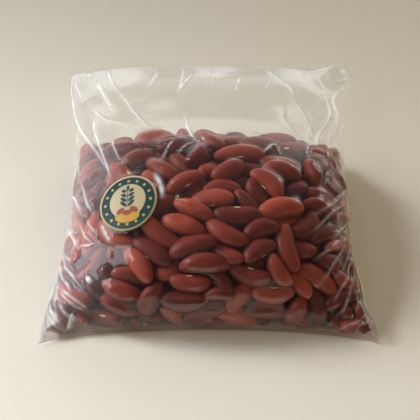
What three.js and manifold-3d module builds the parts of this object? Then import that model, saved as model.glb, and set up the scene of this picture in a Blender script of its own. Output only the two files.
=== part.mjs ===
import * as THREE from 'three';
import { mergeVertices } from 'three/addons/utils/BufferGeometryUtils.js';
import Module from 'manifold-3d';

// A clear film bag of kidney beans, lying on its back, with a round sticker on its upper side.
// Lengths are millimetres. The filled end with the bottom seal points to -Y, the empty end with
// the top seal to +Y. Position on the film is (across, along): across runs from -1 at the left
// edge to 1 at the right edge, along from 0 at the bottom edge to 1 at the top edge.

const flatHalfWidth = 70; // half the width of the film tube pressed flat
const fillPinch = 10.9; // how far filling draws each side edge in
const sideLength = 157; // from the lower to the upper corner, in plan
const filmHalf = 0.35; // half the thickness of a sealed double film
const edgeRise = 12.5; // how high the filling lifts the side edges
const cornerRise = 4.2; // and how much more near the full lower corners
const fillHeight = 48.5; // highest point of the filled film
const crestY = 58; // distance of that point from the lower corners

const finEnd = 0.02; // the stretches of the bag from the bottom edge to the top edge
const crestAt = 0.42;
const bandStart = 0.92;

const finRoot = 0.032; // where the lower film leaves the table on its way to the fin

const bottomEdge = [8.8, 0.9]; // [y, z] on the middle line of the bag
const bottomSealLine = [9, 1.7];
const topSealLine = [150, 16.1];
const topEdge = [165, 10.8];
const bellyPull = [[0, 15], [14, fillHeight - 0.5]]; // Bezier handles of the filled front
const backPull = [[96, fillHeight + 0.5], [119, 27.6]]; // and of the slope to the top seal

const baseHalf = 0.72; // share of the half width that lies flat, and more at the lower corners
const baseHalfLow = 0.86;
const sectionPower = [0.48, 0.9]; // how full the cross section is, at the bottom and further up
// How far the right edge is drawn in under its curled upper corner, beside the filling and over
// the lower corner, and how far the left edge is at its upper corner.
const rightTucks = [
  { depth: 5, at: 0.855, width: 0.09 },
  { depth: 2.1, at: 0.25, width: 0.13 },
  { depth: 2, at: 0.08, width: 0.06 },
];
const leftTuck = 2.2;
const curl = { at: 0.67, height: 5.2, inner: 0.1, outer: 0.2 }; // raised right upper corner
const foldPitch = 0.085; // side folds, as a share of the bag's length
const foldSlant = 0.5; // how far a fold runs down the bag on its way to the middle
const foldDepth = 1.1;
const waveDepth = 0.5; // slack waves of the empty end

const beanSize = { length: 17.4, width: 8.6, thick: 6.9, bend: 1.5 };
const beanSides = 7;
const beanRings = 5;
const beanStep = { across: 0.228, along: 0.0475, shift: 0.2, turn: 0.5 }; // rows of beans
const beanRoom = 8; // least height of the bag over a bean
const beanField = { across: 0.85, from: 0.055, to: 0.56 };
const coreInset = 3.3; // the core lies this far below the film where beans show

const stickerRadius = 12.5;
const stickerThick = 0.5;
const stickerLift = 0.35; // clear of the film
const stickerAt = [-0.37, 0.353];

const columns = 22;
const rows = 42;

const wasm = await Module();
wasm.setup();

function clamp01(value) {
  return Math.min(1, Math.max(0, value));
}

function smoothStep(from, to, value) {
  const u = clamp01((value - from) / (to - from));
  return u * u * (3 - 2 * u);
}

function mix(a, b, u) {
  return a.map((value, i) => value + (b[i] - value) * u);
}

// Repeatable random numbers between 0 and 1 (a small multiplicative generator).
function makeRandom(seed) {
  let state = seed;
  return () => {
    state = (state * 48271) % 2147483647;
    return state / 2147483647;
  };
}

function bezier(points, u) {
  const v = 1 - u;
  const weights = [v ** 3, 3 * v * v * u, 3 * v * u * u, u ** 3];
  return [0, 1].map((k) => points.reduce((sum, point, i) => sum + weights[i] * point[k], 0));
}

// Middle line of the upper film: fin, filled front, slope to the top seal, sealed band.
function crown(along) {
  const crest = [crestY, fillHeight];
  if (along < finEnd) return mix(bottomEdge, bottomSealLine, along / finEnd);
  if (along < crestAt) {
    return bezier([bottomSealLine, ...bellyPull, crest], (along - finEnd) / (crestAt - finEnd));
  }
  if (along < bandStart) {
    return bezier([crest, ...backPull, topSealLine], (along - crestAt) / (bandStart - crestAt));
  }
  return mix(topSealLine, topEdge, (along - bandStart) / (1 - bandStart));
}

// Where the side edge runs: drawn in and lifted by the filling, higher again at the full lower
// corners, its upper corners drawn in and a little raised, the left one more than the right one.
function sideEdge(across, along) {
  const swell = Math.sin(Math.PI * clamp01(along));
  const left = smoothStep(-0.2, 0.2, -across);
  const raised = smoothStep(0.82, 1, along) * (1 + 3 * left);
  const corner = cornerRise * smoothStep(0, 0.045, along) * (1 - smoothStep(0.06, 0.3, along));
  const tuckRight = rightTucks.reduce(
    (sum, { depth, at, width }) => sum + depth * Math.exp(-(((along - at) / width) ** 2)),
    0,
  );
  const tuck = tuckRight * (1 - left) + leftTuck * left * smoothStep(0.9, 1, along);
  return {
    half: flatHalfWidth - fillPinch * swell ** 0.68 - tuck,
    y: sideLength * along,
    z: 1.1 + 5 * along + edgeRise * swell ** 0.85 + raised + corner,
  };
}

// Slanting folds that gather the film at the sides, and slack waves in the empty end.
function filmRelief(across, along) {
  const near = Math.abs(across);
  const foldZone = smoothStep(0.66, 0.86, near) * (1 - smoothStep(0.95, 1, near))
    * smoothStep(0.03, 0.12, along) * (1 - smoothStep(0.88, 0.97, along));
  const folds = Math.cos(2 * Math.PI * (along + foldSlant * (1 - near)) / foldPitch);
  const slack = smoothStep(0.6, 0.8, along) * (1 - smoothStep(0.9, 1, along) * 0.6);
  const waves = Math.sin(11 * across + 5 * along) + 0.6 * Math.sin(17 * across - 9 * along);
  return foldDepth * foldZone * (folds - 1) * 0.5 + waveDepth * slack * waves * (1 - near ** 4);
}

function upperFilm(across, along) {
  const turn = across * Math.PI / 2;
  const rise = Math.cos(turn);
  const side = sideEdge(across, along);
  const [crownY, crownZ] = crown(along);
  const [low, high] = sectionPower;
  const power = low + (high - low) * smoothStep(0.02, 0.24, along);
  const fromCurl = (across - curl.at) / (across < curl.at ? curl.inner : curl.outer);
  const curled = curl.height * smoothStep(0.9, 1, along) * Math.exp(-(fromCurl ** 2));
  return new THREE.Vector3(
    side.half * Math.sin(turn),
    side.y + (crownY - side.y) * rise ** 1.2,
    side.z + (crownZ - side.z) * rise ** power + curled + filmRelief(across, along),
  );
}

// The lower film: flat where it lies, rounded up to the side edges, and meeting the upper film
// at the fin and along the sealed band.
function lowerFilm(across, along) {
  const turn = across * Math.PI / 2;
  const side = sideEdge(across, along);
  const upper = upperFilm(across, along);
  const base = baseHalf + (baseHalfLow - baseHalf) * (1 - smoothStep(0.02, 0.25, along));
  const reach = clamp01((Math.abs(Math.sin(turn)) - base) / (1 - base));
  const flat = side.z * (1 - Math.sqrt(1 - reach * reach));
  const atFin = 1 - smoothStep(finEnd, finRoot, along);
  const atBand = smoothStep(0.6, bandStart, along);
  const [lineY] = mix(bottomSealLine, topSealLine, (along - finEnd) / (bandStart - finEnd));
  const y = side.y + (lineY - side.y) * Math.cos(turn) ** 1.2;
  const z = flat * (1 - atFin) * (1 - atBand) + upper.z * Math.max(atFin, atBand);
  return new THREE.Vector3(upper.x, y + (upper.y - y) * Math.max(atFin, atBand), z);
}

function outwardNormal(surface, across, along) {
  const step = 0.004;
  const alongX = surface(across + step, along).sub(surface(across - step, along));
  const alongY = surface(across, along + step).sub(surface(across, along - step));
  return alongX.cross(alongY).normalize();
}

// Upper film without its folds and waves, for whatever lies on or under it.
function smoothFilm(across, along) {
  const point = upperFilm(across, along);
  point.z -= filmRelief(across, along);
  return point;
}

// 1 where beans fill the bag, falling to 0 at the folded sides, the fin and the empty end.
function beanShare(across, along) {
  return (1 - smoothStep(0.78, 0.95, Math.abs(across)))
    * smoothStep(0.02, 0.07, along) * (1 - smoothStep(0.55, 0.63, along));
}

function toManifold(geometry) {
  const bare = geometry.clone();
  bare.deleteAttribute('normal');
  bare.deleteAttribute('uv');
  const merged = mergeVertices(bare);
  return new wasm.Manifold(new wasm.Mesh({
    numProp: 3,
    vertProperties: new Float32Array(merged.attributes.position.array),
    triVerts: new Uint32Array(merged.index.array),
  }));
}

function toGeometry(manifold) {
  const mesh = manifold.getMesh();
  const geometry = new THREE.BufferGeometry();
  geometry.setAttribute('position', new THREE.BufferAttribute(mesh.vertProperties, 3));
  geometry.setIndex(new THREE.BufferAttribute(mesh.triVerts, 1));
  geometry.computeVertexNormals();
  return geometry;
}

// A closed solid between an upper and a lower grid of points, both countU by countV.
function slabGeometry(countU, countV, upperPoint, lowerPoint) {
  const positions = [];
  for (const point of [upperPoint, lowerPoint]) {
    for (let j = 0; j < countV; j += 1) {
      for (let i = 0; i < countU; i += 1) positions.push(...point(i, j).toArray());
    }
  }
  const lower = countU * countV;
  const faces = [];
  const quad = (a, b, c, d) => faces.push(a, b, c, a, c, d);
  for (let j = 0; j < countV - 1; j += 1) {
    for (let i = 0; i < countU - 1; i += 1) {
      const a = j * countU + i;
      quad(a, a + 1, a + 1 + countU, a + countU);
      quad(lower + a, lower + a + countU, lower + a + 1 + countU, lower + a + 1);
    }
  }
  for (let i = 0; i < countU - 1; i += 1) {
    const last = (countV - 1) * countU + i;
    quad(lower + i, lower + i + 1, i + 1, i);
    quad(last, last + 1, lower + last + 1, lower + last);
  }
  for (let j = 0; j < countV - 1; j += 1) {
    const left = j * countU;
    const right = left + countU - 1;
    quad(left, left + countU, lower + left + countU, lower + left);
    quad(lower + right, lower + right + countU, right + countU, right);
  }
  const geometry = new THREE.BufferGeometry();
  geometry.setAttribute('position', new THREE.Float32BufferAttribute(positions, 3));
  geometry.setIndex(faces);
  return geometry;
}

// The bag's body: film to film, a little lower than the film where beans show.
function coreGeometry() {
  const place = (i, j) => [2 * i / columns - 1, j / rows];
  const upper = (i, j) => {
    const [across, along] = place(i, j);
    const point = upperFilm(across, along);
    const inset = coreInset * beanShare(across, along);
    if (inset > 0) point.addScaledVector(outwardNormal(smoothFilm, across, along), -inset);
    point.z += filmHalf;
    return point;
  };
  const lower = (i, j) => {
    const point = lowerFilm(...place(i, j));
    point.z = Math.max(0, point.z - filmHalf);
    return point;
  };
  return slabGeometry(columns + 1, rows + 1, upper, lower);
}

// A kidney bean: a ball stretched along X and bent in its own plane.
function beanGeometry(scale) {
  const geometry = new THREE.SphereGeometry(1, beanSides, beanRings);
  geometry.rotateZ(Math.PI / 2);
  const points = geometry.attributes.position;
  for (let i = 0; i < points.count; i += 1) {
    const x = points.getX(i);
    points.setXYZ(
      i,
      x * scale * beanSize.length / 2,
      points.getY(i) * scale * beanSize.width / 2 - beanSize.bend * (x * x - 0.3),
      points.getZ(i) * scale * beanSize.thick / 2,
    );
  }
  return geometry;
}

// One bean just under the film, its long side turned from the cross direction by the given angle.
function beanPlacement(across, along, turn, scale, sunk) {
  const normal = outwardNormal(smoothFilm, across, along);
  const uphill = normal.clone().cross(new THREE.Vector3(1, 0, 0)).normalize();
  const level = uphill.clone().cross(normal);
  const heading = level.multiplyScalar(Math.cos(turn)).addScaledVector(uphill, Math.sin(turn));
  const centre = smoothFilm(across, along).addScaledVector(normal, -beanSize.thick * scale / 2 - sunk);
  const width = normal.clone().cross(heading);
  return new THREE.Matrix4().makeBasis(heading, width, normal).setPosition(centre);
}

// Rows of beans across the film, each row half a step on from the last, all of them shifted,
// turned and sized by chance, and left out where the bag is too thin for one.
function layBeans(random) {
  const laid = [];
  const chance = (range) => range * (2 * random() - 1);
  const rowCount = Math.round((beanField.to - beanField.from) / beanStep.along);
  const perSide = Math.ceil(beanField.across / beanStep.across);
  for (let row = 0; row <= rowCount; row += 1) {
    for (let k = -perSide; k <= perSide; k += 1) {
      const across = (k + (row % 2) / 2 + chance(beanStep.shift)) * beanStep.across;
      const along = beanField.from + (row + chance(beanStep.shift)) * beanStep.along;
      const turn = chance(random() < 0.75 ? beanStep.turn : Math.PI / 2);
      const scale = 1 + chance(0.12);
      const sunk = 0.8 * random();
      const height = smoothFilm(across, along).z - lowerFilm(across, along).z;
      if (Math.abs(across) < beanField.across && height > beanRoom) {
        laid.push({ scale, matrix: beanPlacement(across, along, turn, scale, sunk) });
      }
    }
  }
  return laid;
}

function bagGeometry() {
  let solid = toManifold(coreGeometry());
  for (const bean of layBeans(makeRandom(11))) {
    solid = solid.add(toManifold(beanGeometry(bean.scale).applyMatrix4(bean.matrix)));
  }
  return toGeometry(solid);
}

// The point of the smooth film that lies over (u, v) of the plane that touches it at the sticker.
function underSticker(u, v) {
  const centre = smoothFilm(...stickerAt);
  const normal = outwardNormal(smoothFilm, ...stickerAt);
  const axisU = new THREE.Vector3(1, 0, 0).addScaledVector(normal, -normal.x).normalize();
  const axisV = normal.clone().cross(axisU);
  let [across, along] = stickerAt;
  for (let i = 0; i < 12; i += 1) {
    const offset = smoothFilm(across, along).sub(centre);
    across += (u - offset.dot(axisU)) / (flatHalfWidth * Math.PI / 2);
    along += (v - offset.dot(axisV)) / sideLength * 0.9;
  }
  return [across, along];
}

function stickerGeometry() {
  const sides = 28;
  const rings = 3;
  const point = (lift) => (i, j) => {
    const radius = stickerRadius * j / rings;
    const turn = 2 * Math.PI * i / sides;
    const place = underSticker(radius * Math.cos(turn), radius * Math.sin(turn));
    return smoothFilm(...place).addScaledVector(outwardNormal(smoothFilm, ...place), lift);
  };
  const lifts = [filmHalf + stickerLift + stickerThick, filmHalf + stickerLift];
  const positions = [];
  for (const lift of lifts) {
    positions.push(...point(lift)(0, 0).toArray());
    for (let j = 1; j <= rings; j += 1) {
      for (let i = 0; i < sides; i += 1) positions.push(...point(lift)(i, j).toArray());
    }
  }
  const half = 1 + rings * sides;
  const faces = [];
  const at = (i, j) => (j === 0 ? 0 : 1 + (j - 1) * sides + (i % sides));
  for (let i = 0; i < sides; i += 1) {
    for (let j = 0; j < rings; j += 1) {
      const [a, b, c, d] = [at(i, j), at(i, j + 1), at(i + 1, j + 1), at(i + 1, j)];
      faces.push(a, b, c, half + a, half + c, half + b);
      if (j > 0) faces.push(a, c, d, half + a, half + d, half + c);
    }
    const [rimA, rimB] = [at(i, rings), at(i + 1, rings)];
    faces.push(rimA, half + rimA, half + rimB, rimA, half + rimB, rimB);
  }
  const geometry = new THREE.BufferGeometry();
  geometry.setAttribute('position', new THREE.Float32BufferAttribute(positions, 3));
  geometry.setIndex(faces);
  geometry.computeVertexNormals();
  return geometry;
}

function namedMesh(name, geometry, material) {
  const mesh = new THREE.Mesh(geometry, new THREE.MeshStandardMaterial(material));
  mesh.name = name;
  return mesh;
}

const bagLook = { color: '#7a3a30', roughness: 0.25, metalness: 0 };
const stickerLook = { color: '#d8c8a8', roughness: 0.4, metalness: 0 };
const bag = namedMesh('bean_bag', bagGeometry(), bagLook);
const sticker = namedMesh('round_sticker', stickerGeometry(), stickerLook);

// The origin is the middle of the bag's box, on the surface that it lies on.
const placed = new THREE.Group();
placed.add(bag, sticker);
const box = new THREE.Box3().setFromObject(placed);
const middle = box.getCenter(new THREE.Vector3());
placed.position.set(-middle.x, -middle.y, -box.min.z);
const group = new THREE.Group();
group.add(placed);

export default group;
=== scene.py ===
import bpy
import math
import time
import numpy as np
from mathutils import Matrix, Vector
from mathutils.bvhtree import BVHTree


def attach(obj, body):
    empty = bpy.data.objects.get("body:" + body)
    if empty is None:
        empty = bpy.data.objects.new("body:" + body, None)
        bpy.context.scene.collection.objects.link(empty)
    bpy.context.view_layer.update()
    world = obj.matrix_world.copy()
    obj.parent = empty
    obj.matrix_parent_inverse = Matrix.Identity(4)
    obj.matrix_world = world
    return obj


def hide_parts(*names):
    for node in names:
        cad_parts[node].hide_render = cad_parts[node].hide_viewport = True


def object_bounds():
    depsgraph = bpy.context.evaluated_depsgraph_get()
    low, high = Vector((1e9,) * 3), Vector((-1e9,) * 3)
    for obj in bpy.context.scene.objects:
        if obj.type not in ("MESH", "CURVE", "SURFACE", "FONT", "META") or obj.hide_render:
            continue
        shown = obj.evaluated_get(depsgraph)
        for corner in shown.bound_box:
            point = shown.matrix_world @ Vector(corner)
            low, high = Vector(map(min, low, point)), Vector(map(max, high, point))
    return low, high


started = time.time()
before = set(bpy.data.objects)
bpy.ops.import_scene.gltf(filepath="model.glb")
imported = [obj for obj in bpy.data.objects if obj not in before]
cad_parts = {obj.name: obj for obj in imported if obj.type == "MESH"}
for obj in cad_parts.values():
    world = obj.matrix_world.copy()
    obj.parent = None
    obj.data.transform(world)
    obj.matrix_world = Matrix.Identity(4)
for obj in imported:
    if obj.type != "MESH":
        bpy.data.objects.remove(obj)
cadLow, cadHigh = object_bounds()
scene = bpy.context.scene

mm = 0.001
tipY = cadLow.y          # the lower corner tips of the bag lie on the near side of its box


# helpers

def say(words):
    # a line for each stage, with the seconds since the start
    print(f"{words} ({time.time() - started:.0f} s)")


def smoothStep(low, high, value):
    # 3u^2 - 2u^3 of the clamped share of the way from low to high
    u = np.clip((np.asarray(value, float) - low) / (high - low), 0, 1)
    return u * u * (3 - 2 * u)


def bezier(corners, u):
    # cubic Bezier through four corners, u from 0 to 1
    u = np.asarray(u, float)[..., None]
    a, b, c, d = (np.array(p, float) for p in corners)
    return (1 - u) ** 3 * a + 3 * (1 - u) ** 2 * u * b + 3 * (1 - u) * u ** 2 * c + u ** 3 * d


def toFrame(points):
    # millimetres from the corner tips to metres in the frame
    return np.asarray(points, float) * mm + np.array([0, tipY, 0])


def unit(vectors):
    # each vector over its own length
    return vectors / np.maximum(np.linalg.norm(vectors, axis=-1, keepdims=True), 1e-9)


def newMesh(name, points, faces, smooth=True):
    # points in mm from the corner tips, in an array of any shape whose last axis is x, y, z
    mesh = bpy.data.meshes.new(name)
    mesh.from_pydata(toFrame(points).reshape(-1, 3).tolist(), [], faces)
    mesh.update()
    if smooth:
        mesh.shade_smooth()
    else:
        mesh.shade_flat()
    piece = bpy.data.objects.new(name, mesh)
    scene.collection.objects.link(piece)
    return piece


def setAttribute(mesh, name, kind, values):
    # one value or one vector for each vertex, for the shaders to read
    layer = mesh.attributes.new(name, kind, "POINT")
    key = "vector" if kind == "FLOAT_VECTOR" else "value"
    layer.data.foreach_set(key, np.asarray(values, np.float32).ravel())


def newMaterial(name):
    # a material with an empty node tree
    material = bpy.data.materials.new(name)
    material.use_nodes = True
    material.node_tree.nodes.clear()
    return material, material.node_tree.nodes, material.node_tree.links


def node(nodes, kind, inputs=None, **settings):
    # a shader node with values for its inputs, by name or number, and its settings
    made = nodes.new("ShaderNode" + kind)
    for key, value in settings.items():
        setattr(made, key, value)
    for key, value in (inputs or {}).items():
        made.inputs[key].default_value = value
    return made


def rgb(r, g, b):
    # sRGB 0 to 255 as linear colour
    c = np.array([r, g, b]) / 255
    return tuple(np.where(c <= 0.04045, c / 12.92, ((c + 0.055) / 1.055) ** 2.4)) + (1.0,)


# the camera stands where the photograph was taken from

photo = {"elevation": 46, "focalPixels": 1240, "width": 420, "distance": 550, "lookAtY": 77.1,
         "sensor": 36, "clip": (0.01, 20)}


def addCamera():
    # the lens is the sensor times the focal length in pixels over the picture's width; the camera
    # looks at a point of the middle line from the distance, down by the elevation
    data = bpy.data.cameras.new("camera")
    data.sensor_width = photo["sensor"]
    data.lens = photo["sensor"] * photo["focalPixels"] / photo["width"]
    data.clip_start, data.clip_end = photo["clip"]
    camera = bpy.data.objects.new("camera", data)
    scene.collection.objects.link(camera)
    tilt = math.radians(photo["elevation"])
    target = Vector(toFrame([0, photo["lookAtY"], 0]))
    back = Vector((0, -math.cos(tilt), math.sin(tilt)))
    camera.location = target + back * photo["distance"] * mm
    camera.rotation_euler = (math.pi / 2 - tilt, 0, 0)
    scene.camera = camera


addCamera()


# the form of the film: a place on it is (across, along), from -1 to 1 and from 0 to 1, in mm

form = {
    # side edges
    "halfFlat": 70, "sideLength": 157, "pinch": 10.9, "pinchPower": 0.68,
    "edgeStart": 1.1, "edgeClimb": 5, "edgeRise": 12.5, "edgePower": 0.85, "cornerRise": 4.2,
    "leftLift": 3, "leftTuck": 2.2, "tucks": ((5, 0.855, 0.09), (2.1, 0.25, 0.13), (2, 0.08, 0.06)),
    # middle line: shares of the way along, then (y, z) of its corners and of its Bezier pulls
    "finEnd": 0.02, "finRoot": 0.032, "crestAt": 0.42, "bandStart": 0.92,
    "bottomEdge": (8.8, 0.9), "bottomSeal": (9, 1.7), "crest": (58, 48.5),
    "topSeal": (150, 16.1), "topEdge": (165, 10.8),
    "bellyPull": ((0, 15), (14, 48)), "backPull": ((96, 49), (119, 27.6)),
    # across: powers of the rise, the curled corner, the slack waves, and the flat base
    "bow": 1.2, "round": 0.9, "fullCorner": 0.42,
    "curlRise": 5.2, "curlAt": 0.67, "curlWidth": (0.1, 0.2),
    "slack": 0.5, "waves": ((1, 11, 5), (0.6, 17, -9)),
    "baseHalf": 0.72, "cornerBase": 0.14, "sheetGap": 0.3,
}


def crown(along):
    # middle line: straight fin, filled front, slope to the top seal, straight band
    f = form
    along = np.asarray(along, float)
    line = np.array(f["bottomSeal"], float), np.array(f["topSeal"], float)
    edge = np.array(f["bottomEdge"], float), np.array(f["topEdge"], float)
    fin = edge[0] + (line[0] - edge[0]) * (along / f["finEnd"])[..., None]
    belly = bezier((f["bottomSeal"], *f["bellyPull"], f["crest"]),
                   np.clip((along - f["finEnd"]) / (f["crestAt"] - f["finEnd"]), 0, 1))
    back = bezier((f["crest"], *f["backPull"], f["topSeal"]),
                  np.clip((along - f["crestAt"]) / (f["bandStart"] - f["crestAt"]), 0, 1))
    band = line[1] + (edge[1] - line[1]) * ((along - f["bandStart"]) / (1 - f["bandStart"]))[..., None]
    part = along[..., None]
    return np.where(part < f["finEnd"], fin, np.where(part < f["crestAt"], belly,
                                                      np.where(part < f["bandStart"], back, band)))


def sideEdge(across, along):
    # side edge: drawn in and lifted by powers of a sine of the way along, the right one drawn in
    # again under its curled upper corner, the left one a little higher there
    swell = np.sin(np.pi * np.clip(along, 0, 1))
    left = smoothStep(-0.2, 0.2, -across)
    raised = smoothStep(0.82, 1, along) * (1 + form["leftLift"] * left)
    tuckRight = sum(depth * np.exp(-((along - middle) / width) ** 2)
                    for depth, middle, width in form["tucks"])
    tucked = tuckRight * (1 - left) + form["leftTuck"] * left * smoothStep(0.9, 1, along)
    half = form["halfFlat"] - form["pinch"] * swell ** form["pinchPower"] - tucked
    corner = form["cornerRise"] * smoothStep(0, 0.045, along) * (1 - smoothStep(0.06, 0.3, along))
    line = form["edgeStart"] + form["edgeClimb"] * along
    z = line + form["edgeRise"] * swell ** form["edgePower"] + raised + corner
    return half, form["sideLength"] * along, z


def slackWaves(across, along):
    # two sines across the empty end, less at the top seal and none at the side edges
    empty = smoothStep(0.6, 0.8, along) * (1 - smoothStep(0.9, 1, along) * 0.6)
    waves = sum(share * np.sin(a * across + b * along) for share, a, b in form["waves"])
    return form["slack"] * empty * waves * (1 - across ** 4)


def upperFilm(across, along):
    # x = half sin a, y and z = side edge plus the way to the middle line times powers of cos a,
    # the power of z lower near the bottom, where the corners are full, and a bell for the curl
    across, along = np.asarray(across, float), np.asarray(along, float)
    turn = across * np.pi / 2
    rise = np.clip(np.cos(turn), 0, 1)
    half, sideY, sideZ = sideEdge(across, along)
    middle = crown(along)
    power = form["round"] - form["fullCorner"] * (1 - smoothStep(0.02, 0.24, along))
    fromCurl = (across - form["curlAt"]) / np.where(across < form["curlAt"], *form["curlWidth"])
    curl = form["curlRise"] * smoothStep(0.9, 1, along) * np.exp(-fromCurl ** 2)
    y = sideY + (middle[..., 0] - sideY) * rise ** form["bow"]
    z = sideZ + (middle[..., 1] - sideZ) * rise ** power + curl + slackWaves(across, along)
    return np.stack([half * np.sin(turn), y, z], -1)


def lowerFilm(across, along, upper):
    # flat at z = 0, a quarter ellipse up to each side edge, just under the upper film at both seals
    f = form
    turn = np.asarray(across, float) * np.pi / 2
    half, sideY, sideZ = sideEdge(across, along)
    base = f["baseHalf"] + f["cornerBase"] * (1 - smoothStep(0.02, 0.25, along))
    reach = np.clip((np.abs(np.sin(turn)) - base) / (1 - base), 0, 1)
    flat = sideZ * (1 - np.sqrt(1 - reach ** 2))
    atFin = 1 - smoothStep(f["finEnd"], f["finRoot"], along)
    atBand = smoothStep(0.6, f["bandStart"], along)
    share = (along - f["finEnd"]) / (f["bandStart"] - f["finEnd"])
    lineY = f["bottomSeal"][0] + (f["topSeal"][0] - f["bottomSeal"][0]) * share
    y = sideY + (lineY - sideY) * np.clip(np.cos(turn), 0, 1) ** f["bow"]
    joined = np.maximum(atFin, atBand)
    z = flat * (1 - atFin) * (1 - atBand) + (upper[..., 2] - f["sheetGap"]) * joined
    return np.stack([upper[..., 0], y + (upper[..., 1] - y) * joined, np.maximum(z, 0)], -1)


def normals(grid):
    # cross product of the differences along both directions of a grid
    return unit(np.cross(np.gradient(grid, axis=1), np.gradient(grid, axis=0)))


def filmGrid(columns, rows):
    # the upper film at even steps across and along
    across, along = np.meshgrid(np.linspace(-1, 1, columns + 1), np.linspace(0, 1, rows + 1))
    return across, along, upperFilm(across, along)


# beans: rigid kidney shapes packed inside the film

beans = {
    # size in mm, how much it varies, and the share of it that the small ones have
    "seed": 5, "length": 18, "width": 8.7, "thick": 7.4, "bend": 1.5, "bendRest": 0.4,
    "spread": 0.1, "spreadShares": (1.1, 0.8, 0.6), "bendSpread": 0.35, "small": 0.7,
    # the balls that stand for a bean while it is packed, and how they grow
    "balls": 5, "ballRadius": 3.9, "ballTaper": 0.13, "endRoom": 3.5, "startSize": 0.62, "growth": 200,
    # packing: share of the room, rounds of each stage, pushes and turns, where beans may start, and
    # the drift of each round
    "fill": 0.56, "rounds": (130, 70, 60), "lean": (1, 0.38, 0.24), "layDown": 0.12,
    "nearby": 1.15, "wallGap": 0.2, "wallPush": 1.3, "ease": 0.6, "farthest": 2.5, "turnShare": 1.4,
    "mostTurn": 0.3, "innerRoom": 2.5, "innerMargin": 5, "rimRoom": 1.7, "rimDepth": 13,
    "settle": (0, -0.04, -0.035), "settleShare": 0.85,
    # gaps that are filled afterwards, and which beans are kept
    "gapLeft": 2.9, "rimGap": 1.5, "gapApart": 8, "poke": 1.9, "leastRoom": 0.8, "margin": 2.5,
    "tips": ((60.5, 8.2, 3.8), (62.5, 13.5, 6.3)),
    "corner": (61.2, 8.8, 4.4), "cornerWay": (0.5, -0.84, -0.2), "cornerGap": 4,
    # the lattice of room inside the film, and the slope at the back of the pile
    "box": ((-71, 72), (-3, 135), (-3, 54)), "cell": 2.3, "backFoot": 129, "backSide": 13, "backHalf": 58,
    # shape: bluntness, one thicker end, depth, length and width of the dent
    "around": 16, "rings": 12, "blunt": 0.87, "uneven": 0.05, "dent": (0.09, 0.26, 0.6),
    # roll round its own length, the share that stands on edge, and how it is pressed off the film
    "roll": 0.45, "onEdge": 0.14, "edgeRoll": 1.3, "clear": 0.25, "presses": 3,
    # skin
    "tones": ((88, 29, 22), (126, 46, 33), (166, 72, 50)), "mottle": 0.35, "roughness": 0.4,
    "hilum": (222, 203, 150), "hilumRadii": (0.15, 0.12),
}


def distanceField():
    # distance from the nodes of a box lattice to the nearest film point, negative outside
    across, along, upper = filmGrid(80, 110)
    lower = lowerFilm(across, along, upper)
    used = (along > 0.02) & (along < 0.82) & (np.abs(across) < 0.995)
    points = np.vstack([upper[used], lower[used]])
    outward = np.vstack([normals(upper)[used], -normals(lower)[used]])
    step = beans["cell"]
    axes = [np.arange(*ends, step) for ends in beans["box"]]
    lattice = np.stack(np.meshgrid(*axes, indexing="ij"), -1).reshape(-1, 3)
    signed = np.empty(len(lattice))
    batch = 2000
    for start in range(0, len(lattice), batch):
        part = lattice[start:start + batch]
        near = ((points ** 2).sum(1) - 2 * part @ points.T).argmin(1)
        offset = points[near] - part
        side = np.sign((offset * outward[near]).sum(1))
        signed[start:start + batch] = side * np.linalg.norm(offset, axis=1)
    field = signed.reshape([len(a) for a in axes])
    return axes, field, np.stack(np.gradient(field, step), -1)


def filmRoom(lattice, points):
    # trilinear distance to the film and its slope, or the height over the table where that is less
    axes, field, slope = lattice
    origin = np.array([a[0] for a in axes])
    limit = np.array(field.shape) - 1.001
    at = np.clip((points - origin) / beans["cell"], 0, limit)
    low = at.astype(int)
    part = at - low
    room, away = 0, 0
    for corner in np.ndindex(2, 2, 2):
        weight = np.prod(np.where(corner, part, 1 - part), axis=1)
        key = tuple((low + corner).T)
        room = room + weight * field[key]
        away = away + weight[:, None] * slope[key]
    below = points[:, 2] < room
    return np.where(below, points[:, 2], room), np.where(below[:, None], [0, 0, 1], unit(away))


def roomAround(lattice, points):
    # the nearer of the film and the slope at the back of the pile
    room, away = filmRoom(lattice, points)
    foot = beans["backFoot"] - beans["backSide"] * (points[:, 0] / beans["backHalf"]) ** 2
    backRoom = (foot - points[:, 1] - points[:, 2]) / math.sqrt(2)
    behind = backRoom < room
    backAway = np.array([0, -1, -1]) / math.sqrt(2)
    return np.where(behind, backRoom, room), np.where(behind[:, None], backAway, away)


def turned(axes, spin):
    # Rodrigues: the three axes of each bean turned by a small rotation vector
    angle = np.linalg.norm(spin, axis=1)
    pole = (spin / np.maximum(angle, 1e-9)[:, None])[:, None, :]
    c, s = np.cos(angle)[:, None, None], np.sin(angle)[:, None, None]
    along = (axes * pole).sum(-1, keepdims=True)
    return axes * c + np.cross(np.broadcast_to(pole, axes.shape), axes) * s + pole * along * (1 - c)


def moved(centre, axes, offset, push):
    # pushes on the balls of each bean as one shift, nearly the mean of them, and one turn, their
    # moment over the sum of the squared arms
    touched = (np.abs(push).sum(-1) > 0).sum(1, keepdims=True)
    spin = np.cross(offset, push).sum(1) / (offset ** 2).sum((1, 2))[:, None]
    shift = np.clip(push.sum(1) / (beans["ease"] + touched), -beans["farthest"], beans["farthest"])
    spin = np.clip(spin * beans["turnShare"], -beans["mostTurn"], beans["mostTurn"])
    return centre + shift, unit(turned(axes, spin))


def laidDown(lattice, centre, axes):
    # beans near the film turn a little towards lying along it
    room, away = roomAround(lattice, centre)
    heading = axes[:, 0]
    lean = (heading * away).sum(1, keepdims=True) * (1 - smoothStep(4, 9, room))[:, None]
    return unit(turned(axes, -beans["layDown"] * lean * np.cross(heading, away)))


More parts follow.
